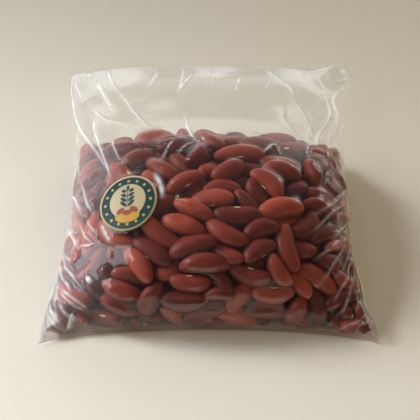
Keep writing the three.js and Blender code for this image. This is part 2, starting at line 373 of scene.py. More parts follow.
def newBeans(draw, centre, full=1):
    # heading mostly across the bag, any roll, and the share of the full size in each direction
    count = len(centre)
    heading = unit(draw.normal(size=(count, 3)) * beans["lean"])
    side = unit(np.cross(heading, unit(draw.normal(size=(count, 3)))))
    varied = beans["spread"] * np.clip(draw.normal(size=(count, 3)), -2, 2) * beans["spreadShares"]
    size = full * (1 + varied)
    return centre, np.stack([heading, side, np.cross(heading, side)], 1), size, np.zeros(count)


def openSpots(spots, room, balls, radius, least):
    # places with the widest gap to all balls and walls, at least a bean's width apart
    near = np.concatenate([(np.linalg.norm(part[:, None] - balls[None], axis=-1) - radius).min(1)
                           for part in np.array_split(spots, 40)])
    gap = np.minimum(near, room)
    chosen = []
    for k in np.argsort(-gap):
        if gap[k] < least:
            break
        if all(np.linalg.norm(spots[k] - other) > beans["gapApart"] for other in chosen):
            chosen.append(spots[k])
    return np.array(chosen).reshape(-1, 3)


def wellInside(points, margin):
    # between the side edges and off the bottom seal by the margin
    edge = sideEdge(points[:, 0], points[:, 1] / form["sideLength"])[0]
    return (np.abs(points[:, 0]) < edge - margin) & (points[:, 1] > margin + 1)


def ballsOf(axes, size, age):
    # a row of balls along the bent middle line of each bean, as offsets from its centre, and their
    # radii, all growing with its age up to full size
    b = beans
    place = np.linspace(-1, 1, b["balls"])
    bent = -b["bend"] * (place ** 2 - b["bendRest"])
    ballAt = np.stack([place * (b["length"] / 2 - b["endRoom"]), bent, 0 * place], -1)
    ballRadius = b["ballRadius"] * (1 - b["ballTaper"] * place ** 2)
    grown = np.minimum(1, b["startSize"] + age / b["growth"])[:, None, None]
    offset = np.einsum("nkj,nji->nki", ballAt[None] * size[:, None, :1] * grown, axes)
    return offset, (ballRadius[None] * size[:, 1:2]) * grown[..., 0]


def pushApart(centre, balls, radius):
    # half of every overlap between the balls of two beans, along the line between the balls
    gap = np.linalg.norm(centre[:, None] - centre[None], axis=-1)
    one, two = np.nonzero(np.triu(gap < beans["length"] * beans["nearby"], 1))
    apart = balls[one][:, :, None] - balls[two][:, None]
    far = np.linalg.norm(apart, axis=-1)
    overlap = np.maximum(radius[one][:, :, None] + radius[two][:, None] - far, 0)
    step = apart / np.maximum(far, 1e-6)[..., None] * overlap[..., None] * 0.5
    push = np.zeros_like(balls)
    for i in range(3):
        for k in range(beans["balls"]):
            push[:, k, i] += np.bincount(one, step[:, k, :, i].sum(1), len(centre))
            push[:, k, i] -= np.bincount(two, step[:, :, k, i].sum(1), len(centre))
    return push, overlap


def cornerBeans(draw):
    # a small one on each side whose heading points into the lower corner
    mirror = np.array([(-1, 1, 1), (1, 1, 1)])
    made = newBeans(draw, mirror * beans["corner"], beans["small"])
    made[1][:, 0] = unit(mirror * beans["cornerWay"])
    return made


def packBeans():
    # each bean is a row of balls that grow; overlaps and walls push balls, and the bean moves as one
    b = beans
    draw = np.random.default_rng(b["seed"])
    lattice = distanceField()
    spots = np.stack(np.meshgrid(*lattice[0], indexing="ij"), -1).reshape(-1, 3)
    room = roomAround(lattice, spots)[0]
    volume = (room > 0).sum() * b["cell"] ** 3
    inner = (room > b["innerRoom"]) & wellInside(spots, b["innerMargin"])
    rim = (room > b["rimRoom"]) & wellInside(spots, b["margin"]) & ~wellInside(spots, b["rimDepth"])
    count = int(b["fill"] * volume / (math.pi / 6 * b["length"] * b["width"] * b["thick"]))
    say(f"room for beans {volume / 1000:.0f} cm3, {count} beans")
    first = spots[inner][draw.choice(inner.sum(), count, replace=False)] + draw.uniform(-1, 1, (count, 3))
    centre, axes, size, age = newBeans(draw, first)
    tips = np.array([(side * x, y, z) for x, y, z in b["tips"] for side in (-1, 1)])
    # what is added after each stage: whole beans in the gaps, then small ones on the rim and its tips
    fillings = ((inner, b["gapLeft"], 1, tips[:0]), (rim, b["rimGap"], b["small"], tips))
    for stage, rounds in enumerate(b["rounds"]):
        for turn in range(rounds):
            offset, radius = ballsOf(axes, size, age)
            push, overlap = pushApart(centre, centre[:, None] + offset, radius)
            centre, axes = moved(centre, axes, offset, push)
            centre = centre + np.array(b["settle"]) * (turn < rounds * b["settleShare"])
            balls = centre[:, None] + offset
            free, away = roomAround(lattice, balls.reshape(-1, 3))
            short = np.maximum(radius.ravel() + b["wallGap"] - free, 0)
            wallPush = (away * short[:, None]).reshape(push.shape) * b["wallPush"]
            centre, axes = moved(centre, axes, offset, wallPush)
            axes = laidDown(lattice, centre, axes)
            age += 1
        if stage < len(fillings):
            part, least, full, extra = fillings[stage]
            chosen = openSpots(spots[part], room[part], balls.reshape(-1, 3), radius.ravel(), least)
            added = newBeans(draw, np.vstack([chosen, extra]), full)
            pairs = zip((centre, axes, size, age), added)
            centre, axes, size, age = (np.concatenate(pair) for pair in pairs)
            say(f"{len(added[0])} beans added in the gaps")
    say(f"packed, deepest overlap {overlap.max():.2f} mm, mean {overlap[overlap > 0].mean():.2f} mm")
    # kept: no ball far past the film, none where the film is too low, none at the very edge, and
    # none where a corner bean goes
    ballRoom = free.reshape(radius.shape)
    keep = ((radius - ballRoom).max(1) < b["poke"]) & (ballRoom.min(1) > b["leastRoom"])
    keep &= wellInside(centre, b["margin"])
    corners = cornerBeans(draw)
    keep &= np.linalg.norm(centre[:, None] - corners[0], axis=-1).min(1) > b["cornerGap"]
    say(f"{(~keep).sum()} beans left out where the film is too low, {keep.sum()} kept")
    pairs = zip((centre, axes, size), corners)
    centre, axes, size = (np.concatenate((old[keep], new)) for old, new in pairs)
    return centre, axes, size, lattice, draw


def beanShape():
    # rings along x = -cos u of radius sin u to a power, with a dent at the middle of the inner side:
    # two bells, one along x and one from the side
    b = beans
    u = np.linspace(0, np.pi, b["rings"] + 2)
    v = np.linspace(0, 2 * np.pi, b["around"], endpoint=False)
    x = -np.cos(u)
    girth = np.abs(np.sin(u)) ** b["blunt"] * (1 + b["uneven"] * x)
    ringX = np.repeat(x[1:-1], b["around"])
    ringG = np.repeat(girth[1:-1], b["around"])
    ringV = np.tile(v, b["rings"])
    points = np.stack([ringX, ringG * np.cos(ringV), ringG * np.sin(ringV)], -1)
    points = np.vstack([points, [[-1, 0, 0], [1, 0, 0]]])
    depth, long, wide = b["dent"]
    dent = np.exp(-(points[:, 0] / long) ** 2) * np.exp(-((points[:, 1] + 1) / wide) ** 2)
    points[:, 1] += depth * dent
    n, m = b["around"], b["rings"]
    i, j = np.meshgrid(np.arange(n), np.arange(m - 1))
    a, c = j * n + i, j * n + (i + 1) % n
    quads = np.stack([a, c, c + n, a + n], -1).reshape(-1, 4)
    k = np.arange(n)
    first, last = n * m, n * m + 1
    caps = np.stack([np.full(n, first), (k + 1) % n, k], -1)
    ends = np.stack([np.full(n, last), (m - 1) * n + k, (m - 1) * n + (k + 1) % n], -1)
    return points, quads, np.vstack([caps, ends])


def makeBeans():
    # the shape times each bean's half sizes, bent by a parabola, along its own three axes
    b = beans
    centre, axesNow, size, lattice, draw = packBeans()
    count = len(centre)
    # near the film a bean shows its broad side, give or take a roll
    outward = -roomAround(lattice, centre)[1]
    thin = unit(outward - (outward * axesNow[:, 0]).sum(1, keepdims=True) * axesNow[:, 0])
    roll = draw.normal(size=count) * b["roll"]
    roll = roll + np.where(draw.random(count) < b["onEdge"], b["edgeRoll"], 0)
    sign = np.where(draw.random(count) < 0.5, -1, 1)[:, None]
    side = np.cross(thin, axesNow[:, 0]) * sign
    side = side * np.cos(roll)[:, None] + thin * np.sin(roll)[:, None]
    third = np.cross(axesNow[:, 0], side)
    shape, quads, caps = beanShape()
    half = size * np.array([b["length"], b["width"], b["thick"]]) / 2
    local = shape[None] * half[:, None]
    bend = b["bend"] * (1 + b["bendSpread"] * draw.normal(size=count))
    local[..., 1] -= bend[:, None] * (shape[None, :, 0] ** 2 - b["bendRest"])
    ownAxes = np.stack([axesNow[:, 0], side, third], 1)
    points = centre[:, None] + np.einsum("nvj,nji->nvi", local, ownAxes)
    # whatever reaches past the film is pressed back to it
    for _ in range(b["presses"]):
        room, away = filmRoom(lattice, points.reshape(-1, 3))
        points += (away * np.maximum(b["clear"] - room, 0)[:, None]).reshape(points.shape)
    shift = np.arange(count)[:, None, None] * len(shape)
    faces = (quads[None] + shift).reshape(-1, 4).tolist() + (caps[None] + shift).reshape(-1, 3).tolist()
    piece = newMesh("beans", points, faces)
    setAttribute(piece.data, "beanPlace", "FLOAT_VECTOR", np.broadcast_to(shape, points.shape))
    setAttribute(piece.data, "tone", "FLOAT", np.repeat(draw.random(count), len(shape)))
    say(f"beans made, {len(faces)} faces")
    return piece, points, faces


def beanSkin():
    # dark red skin, a tone for each bean and a mottle over it, pale at the hilum
    b = beans
    material, nodes, links = newMaterial("beanSkin")
    out = node(nodes, "OutputMaterial")
    skin = node(nodes, "BsdfPrincipled", {"Roughness": b["roughness"], "Specular IOR Level": 0.5})
    links.new(skin.outputs[0], out.inputs[0])
    place = node(nodes, "Attribute", attribute_name="beanPlace")
    tone = node(nodes, "Attribute", attribute_name="tone")
    ramp = node(nodes, "ValToRGB")
    dark, middle, light = (rgb(*shade) for shade in b["tones"])
    ramp.color_ramp.elements[0].color = dark
    ramp.color_ramp.elements[1].color = light
    ramp.color_ramp.elements.new(0.5).color = middle
    links.new(tone.outputs["Fac"], ramp.inputs[0])
    coords = node(nodes, "TexCoord")
    noise = node(nodes, "TexNoise", {"Scale": 260, "Detail": 3, "Roughness": 0.6})
    links.new(coords.outputs["Object"], noise.inputs["Vector"])
    mottle = node(nodes, "MixRGB", {0: b["mottle"], 2: (0.5, 0.5, 0.5, 1)}, blend_type="OVERLAY")
    links.new(ramp.outputs[0], mottle.inputs[1])
    links.new(noise.outputs["Fac"], mottle.inputs[2])
    # the hilum: an ellipse at the middle of the inner side, where y is below 0
    fromSide = swapped(nodes, links, place.outputs["Vector"])
    hilum = ellipse(nodes, links, fromSide, (0, 0), b["hilumRadii"], 0, 0.3)
    split = node(nodes, "SeparateXYZ")
    links.new(place.outputs["Vector"], split.inputs[0])
    inside = node(nodes, "Math", {1: 0}, operation="LESS_THAN")
    links.new(split.outputs[1], inside.inputs[0])
    spot = node(nodes, "Math", operation="MULTIPLY")
    links.new(hilum, spot.inputs[0])
    links.new(inside.outputs[0], spot.inputs[1])
    pale = node(nodes, "MixRGB", {2: rgb(*b["hilum"])})
    links.new(spot.outputs[0], pale.inputs[0])
    links.new(mottle.outputs[0], pale.inputs[1])
    links.new(pale.outputs[0], skin.inputs["Base Color"])
    bump = node(nodes, "Bump", {"Strength": 0.15, "Distance": 0.0004})
    links.new(noise.outputs["Fac"], bump.inputs["Height"])
    links.new(bump.outputs[0], skin.inputs["Normal"])
    return material


def swapped(nodes, links, vector):
    # (x, y, z) as (x, z, y)
    split, join = node(nodes, "SeparateXYZ"), node(nodes, "CombineXYZ")
    links.new(vector, split.inputs[0])
    for here, there in ((0, 0), (1, 2), (2, 1)):
        links.new(split.outputs[here], join.inputs[there])
    return join.outputs[0]


def ellipse(nodes, links, vector, centre, radii, turn, soft):
    # 1 inside an ellipse of the xy plane, falling to 0 over the soft share of its radius
    mapping = node(nodes, "Mapping", {"Location": (*centre, 0), "Rotation": (0, 0, turn),
                                      "Scale": (*radii, 1e4)}, vector_type="TEXTURE")
    length = node(nodes, "VectorMath", operation="LENGTH")
    inside = node(nodes, "MapRange", {1: 1 + soft / 2, 2: 1 - soft / 2, 3: 0, 4: 1})
    links.new(vector, mapping.inputs[0])
    links.new(mapping.outputs[0], length.inputs[0])
    links.new(length.outputs["Value"], inside.inputs[0])
    return inside.outputs[0]


# the film: one closed sheet, an upper and a lower layer joined round the edge

film = {
    # grid, and how it is drawn in over the beans
    "columns": 240, "rows": 300, "clear": 0.12, "sag": 0.008, "drapeRounds": 260, "castLift": 6.0,
    "castReach": 30.0, "underSticker": -0.1,
    # creases: how uneven their painted glint white is, and how fast it fades beside the ridge
    "seed": 3, "creaseSteps": 150, "uneven": (0.4, 1.2), "unevenSpots": 9, "fade": 1.6,
    # shares of haze and of painted shade by place, and the mirror share seen square on
    "haze": 0.018, "slopeHaze": 0.07, "endHaze": 0.07, "sealHaze": 0.11, "leftHazeAndReflection": 0.3,
    "rightPaintedShade": 0.5, "leftPaintedShade": 0.12, "sealPaintedShade": 0.2, "mirror": 0.045,
    "clearTint": (0.99, 0.99, 0.985, 1), "shadowTint": (0.95, 0.95, 0.94, 1), "milk": (0.84, 0.87, 0.92, 1),
    # a painted shade in the beans' brown, the darker shadow that it casts, and white for the gloss and the
    # painted crease glints
    "shadePaint": (0.3, 0.14, 0.1, 1), "shadePaintCast": (0.1, 0.06, 0.04, 1), "glintWhite": (1, 1, 1, 1),
}

# creases of the film: height and half width in mm, how white their painted glint is, and the places
# (across, along) that they run through
creases = (
    # side edges
    (0.3, 0.5, 0.85, ((-0.99, 0.97), (-0.99, 0.86), (-0.99, 0.74))),
    (0.3, 0.45, 0.5, ((-0.99, 0.74), (-0.99, 0.6), (-0.99, 0.46))),
    (0.3, 0.45, 0.5, ((-0.99, 0.44), (-0.99, 0.3), (-0.99, 0.16))),
    (0.3, 0.5, 0.7, ((-0.99, 0.17), (-0.99, 0.1), (-0.98, 0.02))),
    (0.3, 0.5, 0.75, ((0.99, 0.82), (0.99, 0.68), (0.99, 0.5))),
    (0.3, 0.5, 0.7, ((0.99, 0.5), (0.99, 0.38), (0.99, 0.25))),
    (0.3, 0.5, 0.75, ((0.99, 0.27), (0.99, 0.14), (0.98, 0.03))),
    # empty end, left half
    (0.9, 0.7, 0.9, ((-0.93, 0.985), (-0.96, 0.9), (-0.97, 0.82), (-0.88, 0.7), (-0.67, 0.55),
                     (-0.49, 0.405))),
    (0.9, 0.7, 0.95, ((-0.675, 0.69), (-0.655, 0.61), (-0.565, 0.49), (-0.49, 0.41))),
    (0.6, 0.5, 0.45, ((-0.98, 0.76), (-0.9, 0.6), (-0.85, 0.515), (-0.77, 0.43))),
    (0.6, 0.6, 0.6, ((-0.89, 0.985), (-0.81, 0.895), (-0.785, 0.84))),
    (0.3, 1.6, 0.7, ((-0.68, 0.99), (-0.675, 0.96))),
    (0.6, 1.3, 0.85, ((-0.61, 0.93), (-0.57, 0.835), (-0.51, 0.71))),
    (0.7, 0.7, 0.9, ((-0.535, 0.99), (-0.52, 0.945), (-0.495, 0.87))),
    (0.6, 0.8, 0.5, ((-0.52, 0.95), (-0.445, 0.795), (-0.375, 0.66), (-0.29, 0.563))),
    (0.6, 0.8, 0.6, ((-0.275, 0.985), (-0.255, 0.937), (-0.275, 0.89), (-0.3, 0.81))),
    (0.7, 0.9, 0.95, ((-0.12, 0.98), (-0.13, 0.895), (-0.147, 0.77))),
    (0.6, 0.8, 0.9, ((-0.08, 0.94), (-0.12, 0.863), (-0.145, 0.783))),
    (0.5, 0.8, 0.7, ((0.15, 0.92), (0.125, 0.79))),
    (0.5, 1.2, 0.3, ((-0.7, 0.8), (-0.65, 0.73), (-0.55, 0.66), (-0.42, 0.615))),
    (0.8, 0.65, 0.9, ((-0.118, 0.625), (-0.105, 0.552), (-0.08, 0.507), (-0.05, 0.48))),
    (0.4, 0.5, 0.5, ((-0.52, 0.56), (-0.48, 0.497), (-0.44, 0.45))),
    (0.7, 1.1, 0.9, ((-0.25, 0.405), (-0.215, 0.382), (-0.205, 0.36))),
    (0.4, 0.5, 0.45, ((-0.22, 0.43), (-0.19, 0.477), (-0.16, 0.495))),
    (0.4, 0.5, 0.4, ((-0.145, 0.45), (-0.115, 0.472), (-0.07, 0.485))),
    (0.4, 1, 0.3, ((0.02, 0.96), (0.01, 0.88))),
    # empty end, right half
    (0.6, 1, 0.55, ((0.27, 0.97), (0.355, 0.907), (0.44, 0.855), (0.435, 0.75))),
    (0.5, 1.4, 0.35, ((0.365, 0.72), (0.365, 0.625), (0.415, 0.562), (0.48, 0.54))),
    (0.5, 0.9, 0.45, ((0.465, 0.73), (0.5, 0.657), (0.535, 0.608), (0.525, 0.55))),
    (0.4, 1.2, 0.35, ((0.32, 0.91), (0.28, 0.81))),
    (0.5, 1, 0.6, ((0.54, 0.96), (0.67, 0.905), (0.72, 0.872), (0.65, 0.815))),
    (0.8, 0.9, 0.8, ((0.79, 0.87), (0.74, 0.758), (0.65, 0.648), (0.595, 0.583), (0.565, 0.51))),
    (0.9, 0.8, 0.9, ((0.94, 0.93), (0.88, 0.857), (0.84, 0.76), (0.83, 0.705), (0.74, 0.6))),
    (0.6, 0.7, 0.6, ((0.76, 0.735), (0.67, 0.647), (0.64, 0.58))),
    (0.6, 0.7, 0.6, ((0.81, 0.71), (0.73, 0.635), (0.7, 0.57))),
    (0.5, 0.8, 0.35, ((0.86, 0.71), (0.93, 0.64), (0.965, 0.57), (0.97, 0.46))),
    (0.4, 0.6, 1, ((0.74, 0.93), (0.8, 0.945), (0.88, 0.965), (0.96, 0.985))),
    (0.4, 0.7, 0.9, ((0.47, 0.955), (0.5, 0.975), (0.56, 0.988), (0.64, 0.985))),
    (0.3, 0.9, 0.5, ((0.64, 0.975), (0.66, 0.945), (0.72, 0.93))),
    (0.4, 0.6, 0.7, ((0.205, 0.535), (0.235, 0.53), (0.26, 0.53))),
    (0.6, 0.6, 0.8, ((0.25, 0.465), (0.27, 0.475), (0.295, 0.492), (0.32, 0.49), (0.335, 0.46))),
    (0.5, 0.9, 0.6, ((0.515, 0.53), (0.49, 0.475))),
    (0.6, 0.8, 0.7, ((0.65, 0.535), (0.655, 0.49))),
    (0.5, 0.6, 0.7, ((0.69, 0.54), (0.725, 0.508))),
    # left side
    (0.9, 0.7, 0.75, ((-0.96, 0.43), (-0.855, 0.4), (-0.745, 0.367), (-0.67, 0.337))),
    (0.6, 0.7, 0.5, ((-0.76, 0.44), (-0.67, 0.375), (-0.57, 0.335))),
    (0.6, 0.5, 0.75, ((-0.69, 0.268), (-0.615, 0.27), (-0.56, 0.277))),
    (0.7, 0.6, 0.55, ((-0.72, 0.32), (-0.635, 0.29), (-0.57, 0.275))),
    (0.5, 0.5, 0.5, ((-0.64, 0.327), (-0.56, 0.295))),
    (0.9, 0.7, 0.55, ((-0.95, 0.25), (-0.82, 0.215), (-0.69, 0.188), (-0.57, 0.148))),
    (0.8, 0.7, 0.6, ((-0.96, 0.22), (-0.845, 0.182), (-0.74, 0.165), (-0.68, 0.145))),
    (0.9, 0.6, 0.95, ((-0.8, 0.15), (-0.7, 0.138), (-0.6, 0.12), (-0.54, 0.1))),
    (0.8, 0.6, 0.9, ((-0.79, 0.14), (-0.685, 0.12), (-0.61, 0.107), (-0.545, 0.094))),
    (0.8, 0.8, 0.9, ((-0.76, 0.105), (-0.67, 0.079), (-0.6, 0.066))),
    (0.8, 0.7, 0.8, ((-0.93, 0.1), (-0.85, 0.082), (-0.76, 0.065), (-0.675, 0.038))),
    (0.7, 0.6, 0.7, ((-0.92, 0.08), (-0.875, 0.07), (-0.75, 0.045), (-0.66, 0.03))),
    (0.6, 0.6, 0.6, ((-0.95, 0.06), (-0.85, 0.04), (-0.71, 0.025))),
    (0.8, 0.7, 0.6, ((-0.95, 0.33), (-0.835, 0.3), (-0.74, 0.278), (-0.67, 0.26))),
    (0.7, 0.6, 0.6, ((-0.93, 0.17), (-0.84, 0.14), (-0.83, 0.108), (-0.76, 0.08))),
    (0.7, 1, 0.85, ((-0.515, 0.315), (-0.485, 0.295), (-0.45, 0.276))),
    (0.6, 1.1, 0.85, ((-0.595, 0.196), (-0.54, 0.18))),
    # right side
    (1, 0.59, 0.36, ((0.97, 0.46), (0.875, 0.428), (0.715, 0.378), (0.61, 0.353), (0.52, 0.335))),
    (1, 0.59, 0.36, ((0.94, 0.4), (0.75, 0.363), (0.645, 0.342), (0.565, 0.317), (0.5, 0.297))),
    (1, 0.59, 0.36, ((0.95, 0.35), (0.81, 0.317), (0.705, 0.3), (0.585, 0.265))),
    (0.8, 0.51, 0.29, ((0.84, 0.3), (0.675, 0.273), (0.58, 0.255), (0.49, 0.238))),
    (1, 0.59, 0.4, ((0.93, 0.32), (0.805, 0.293), (0.73, 0.258), (0.625, 0.228), (0.565, 0.198),
                    (0.47, 0.172))),
    (1, 0.59, 0.36, ((0.95, 0.28), (0.83, 0.25), (0.735, 0.218), (0.63, 0.19))),
    (1, 0.59, 0.4, ((0.93, 0.245), (0.805, 0.217), (0.72, 0.182), (0.64, 0.152), (0.59, 0.125))),
    (1, 0.59, 0.36, ((0.92, 0.2), (0.77, 0.165), (0.71, 0.132), (0.665, 0.103), (0.59, 0.08))),
    (0.9, 0.51, 0.36, ((0.9, 0.08), (0.755, 0.058), (0.635, 0.045), (0.53, 0.02))),
    (0.7, 0.51, 0.36, ((0.93, 0.06), (0.83, 0.05), (0.755, 0.048), (0.69, 0.03))),
    (0.9, 0.59, 0.43, ((0.88, 0.24), (0.845, 0.16), (0.88, 0.08), (0.93, 0.035))),
    (0.7, 0.51, 0.32, ((0.785, 0.16), (0.815, 0.112), (0.77, 0.085))),
)


def splinePath(spots, u):
    # Catmull-Rom: cubic stretches through the places, each with the slope of its neighbours' chord
    ends = np.vstack([2 * spots[0] - spots[1], spots, 2 * spots[-1] - spots[-2]])
    at = np.minimum(u * (len(spots) - 1), len(spots) - 1.001)
    k = at.astype(int)
    t = (at - k)[:, None]
    a, b, c, d = (ends[k + step] for step in range(4))
    straight = b + t * (c - a) / 2
    return straight + t ** 2 * (a - 2.5 * b + 2 * c - d / 2) + t ** 3 * (1.5 * (b - c) + (d - a) / 2)


def creaseRelief(upper, crease, draw):
    # a bell across a smooth path on the film, lower towards both ends, with a painted glint in white along
    # its ridge
    height, width, glintWhite, spots = crease
    u = np.linspace(0, 1, film["creaseSteps"])
    across, along = splinePath(np.array(spots), u).T
    path = upperFilm(np.clip(across, -1, 1), np.clip(along, 0, 1))
    margin = 3 * width
    near = ((upper > path.min(0) - margin) & (upper < path.max(0) + margin)).all(-1)
    spot = upper[near]
    square = (spot ** 2).sum(1)[:, None] - 2 * spot @ path.T + (path ** 2).sum(1)
    k = square.argmin(1)
    bell, line = np.zeros((2, *upper.shape[:2]))
    bell[near] = np.exp(-np.maximum(square[np.arange(len(k)), k], 0) / width ** 2)
    places = np.linspace(0, 1, film["unevenSpots"])
    line[near] = np.interp(u[k], places, draw.uniform(*film["uneven"], film["unevenSpots"]))
    bell[near] *= np.sin(np.pi * (0.04 + 0.92 * u[k])) ** 0.6
    return height * bell, np.minimum(glintWhite * bell ** film["fade"] * line, 1)


def drape(upper, outward, along, beanPoints, beanFaces, under):
    # each round: the mean of the four neighbours less the sag, but not below the bean under it, which
    # a ray finds
    tree = BVHTree.FromPolygons(beanPoints.reshape(-1, 3).tolist(), beanFaces)
    lift, reach = film["castLift"], film["castReach"]
    near = along < 0.85
    starts = (upper + outward * lift)[near].tolist()
    ways = (-outward[near]).tolist()
    hits = [tree.ray_cast(start, way, reach)[3] for start, way in zip(starts, ways)]
    depth = np.full(along.shape, reach)
    depth[near] = [reach if hit is None else hit - lift for hit in hits]
    lowest = np.where(under, film["underSticker"], film["clear"] - depth)
    level = np.zeros_like(depth)
    held = smoothStep(0.02, 0.06, along) * (1 - smoothStep(0.62, 0.8, along))
    for _ in range(film["drapeRounds"]):
        mean = level.copy()
        mean[1:-1, 1:-1] = (level[:-2, 1:-1] + level[2:, 1:-1] + level[1:-1, :-2] + level[1:-1, 2:]) / 4
        level = np.maximum(mean - film["sag"] * held, lowest)
        level[:, 0] = level[:, -1] = level[0] = 0
    return level


def lowerFaces(number, under):
    # half as fine as the upper layer, with the upper layer's own points round the edge
    none = np.full(np.array(under.shape) - 1, -1)
    left, right, near, far = none.copy(), none.copy(), none.copy(), none.copy()
    left[:, 0], right[:, -1] = number[1::2, 0], number[1::2, -1]
    near[0], far[-1] = number[0, 1::2], number[-1, 1::2]
    loops = np.stack([under[:-1, :-1], left, under[1:, :-1], far, under[1:, 1:], right,
                      under[:-1, 1:], near], -1).reshape(-1, 8)
    return [[k for k in loop if k >= 0] for loop in loops.tolist()]


def filmTints(across, along):
    # haze: a little all over, more up the empty end, along the bottom seal and down the left side, where
    # it is partly a painted reflection; painted shade: dark brown, the beans' colour, where the wrinkled
    # edges of the filled part and the seal lie in shade
    f = film
    haze = (f["haze"] + f["slopeHaze"] * smoothStep(0.4, 0.6, along)
            + f["endHaze"] * smoothStep(0.7, 0.95, along))
    haze += (f["sealHaze"] * smoothStep(0.02, 0.035, along) * (1 - smoothStep(0.04, 0.1, along))
             * (1 - smoothStep(0.3, 0.8, across)))
    # down the left side more haze, partly the film's own and partly a painted reflection of the bright left
    # of the room
    haze += f["leftHazeAndReflection"] * smoothStep(0.32, 0.85, -across) * (1 - smoothStep(0.5, 0.72, along))
    # painted shade: dark brown where the wrinkled side edges of the filled part lie in shade, more on the
    # right, and at the bottom seal
    filled = smoothStep(0.01, 0.04, along) * (1 - smoothStep(0.34, 0.46, along))
    atRight, atLeft = smoothStep(0.84, 0.95, across), smoothStep(0.84, 0.95, -across)
    paintedShade = filled * (f["rightPaintedShade"] * atRight + f["leftPaintedShade"] * atLeft)
    paintedShade += (f["sealPaintedShade"] * (1 - smoothStep(0.02, 0.045, along))
              * (1 - smoothStep(0.8, 0.95, np.abs(across))))
    return haze, paintedShade


def makeFilm(beanPoints, beanFaces):
    # upper film plus its outward normal times the drape and the creases, over a lower film at half
    # the fineness
    across, along, upper = filmGrid(film["columns"], film["rows"])
    outward = normals(upper)
    centre = upperFilm(*sticker["at"])
    fromSticker = np.linalg.norm(upper - centre, axis=-1)
    level = drape(upper, outward, along, beanPoints, beanFaces, fromSticker < sticker["radius"] + 1)
    say(f"film draped, from {level.min():.1f} to {level.max():.1f} mm")
    draw = np.random.default_rng(film["seed"])
    relief, glintWhite = np.max([creaseRelief(upper, crease, draw) for crease in creases], axis=0)
    free = smoothStep(sticker["radius"], sticker["radius"] + 2, fromSticker)
    edge = np.minimum(smoothStep(0, 0.012, along), smoothStep(0, 0.008, 1 - np.abs(across)))
    top = upper + outward * (level + relief * free * edge)[..., None]
    top[..., 2] = np.maximum(top[..., 2], 0.1)
    lower = lowerFilm(across, along, upper)[::2, ::2]
    number = np.arange(across.size).reshape(across.shape)
    under = number[::2, ::2].copy()
    inner = (slice(1, -1), slice(1, -1))
    under[inner] = number.size + np.arange(lower[inner][..., 0].size).reshape(lower[inner].shape[:2])
    quads = np.stack([number[:-1, :-1], number[:-1, 1:], number[1:, 1:], number[1:, :-1]], -1)
    points = np.vstack([top.reshape(-1, 3), lower[inner].reshape(-1, 3)])
    piece = newMesh("bagFilm", points, quads.reshape(-1, 4).tolist() + lowerFaces(number, under))
    # haze (on the left partly a painted reflection), painted shade and painted crease glints, for the
    # shader
    haze, paintedShade = filmTints(across, along)
    # painted glints along the creases, none under the sticker or at the very edge
    glintWhite = glintWhite * free * edge
    for name, values, share in (("haze", haze, 1), ("paintedShade", paintedShade, 1), ("glintWhite", glintWhite, 0)):
        underValues = values[::2, ::2][inner] * share
        setAttribute(piece.data, name, "FLOAT", np.concatenate([values.ravel(), underValues.ravel()]))
    return piece


